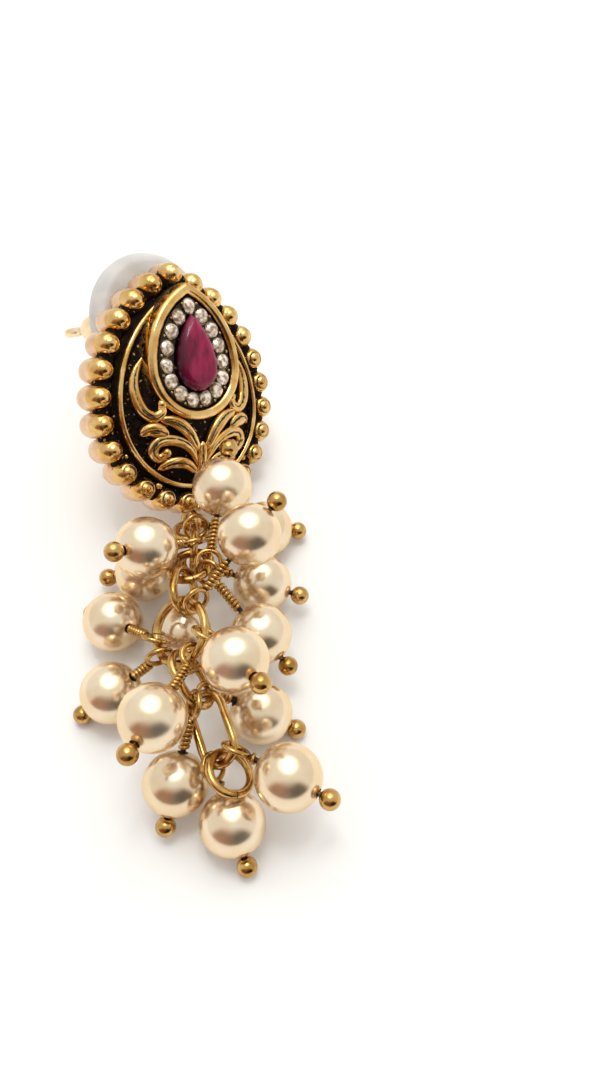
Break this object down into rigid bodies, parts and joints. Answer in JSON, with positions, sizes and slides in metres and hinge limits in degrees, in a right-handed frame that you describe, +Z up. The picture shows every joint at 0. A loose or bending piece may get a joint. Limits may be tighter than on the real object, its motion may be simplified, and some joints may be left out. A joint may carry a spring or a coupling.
{
  "type": "drop earring",
  "caption": "Drop earring in antique gold: beaded teardrop medallion with a red pear-shaped stone, ear post with push-on clutch, and a ring chain hung with pearls on ball-ended pins.",
  "frame": {"origin": "centre of the bounding box, on the surface that the earring lies on", "axes": "+Z up from the surface; +Y from the free end of the pearl chain towards the medallion; +X to the right, seen with the medallion at the far end"},
  "size_m": [0.0312, 0.0616, 0.0217],
  "materials": {
    "antique_gold": "polished high spots over a dark patina",
    "wire_gold": "polished",
    "pale_gold": "polished",
    "dark_tray": "blackened, with clear stones",
    "ruby_red": "polished facets",
    "pearl_cream": "pearl lustre",
    "milky_silicone": "translucent satin"
  },
  "bodies": {
    "earring": {"medallion": "antique_gold", "halo_setting": "dark_tray", "ruby_stone": "ruby_red", "link_1": "wire_gold", "link_2": "wire_gold", "link_3": "wire_gold", "link_4": "wire_gold", "link_5": "wire_gold", "link_6": "wire_gold", "link_7": "wire_gold", "link_8": "wire_gold", "pearl_a": "pearl_cream", "pearl_b": "pearl_cream", "pearl_c": "pearl_cream", "pearl_d": "pearl_cream", "pearl_e": "pearl_cream", "pearl_f": "pearl_cream", "pearl_g": "pearl_cream", "pearl_h": "pearl_cream", "pearl_i": "pearl_cream", "pearl_j": "pearl_cream", "pearl_k": "pearl_cream", "pearl_l": "pearl_cream", "pearl_m": "pearl_cream", "pearl_n": "pearl_cream", "pearl_o": "pearl_cream", "pearl_p": "pearl_cream", "head_pin_a": "wire_gold", "head_pin_b": "wire_gold", "head_pin_c": "wire_gold", "head_pin_d": "wire_gold", "head_pin_e": "wire_gold", "head_pin_f": "wire_gold", "head_pin_g": "wire_gold", "head_pin_h": "wire_gold", "head_pin_i": "wire_gold", "head_pin_j": "wire_gold", "head_pin_k": "wire_gold", "head_pin_l": "wire_gold", "head_pin_m": "wire_gold", "head_pin_n": "wire_gold", "head_pin_o": "wire_gold", "head_pin_p": "wire_gold"},
    "clutch": {"clutch_disc": "milky_silicone", "clutch_barrel": "pale_gold"}
  },
  "joints": [
    {"name": "clutch_slide", "type": "slide", "parent": "earring", "child": "clutch", "axis": [-0.7903, 0.354, -0.5001], "range_m": [-0.0001, 0.014]}
  ]
}
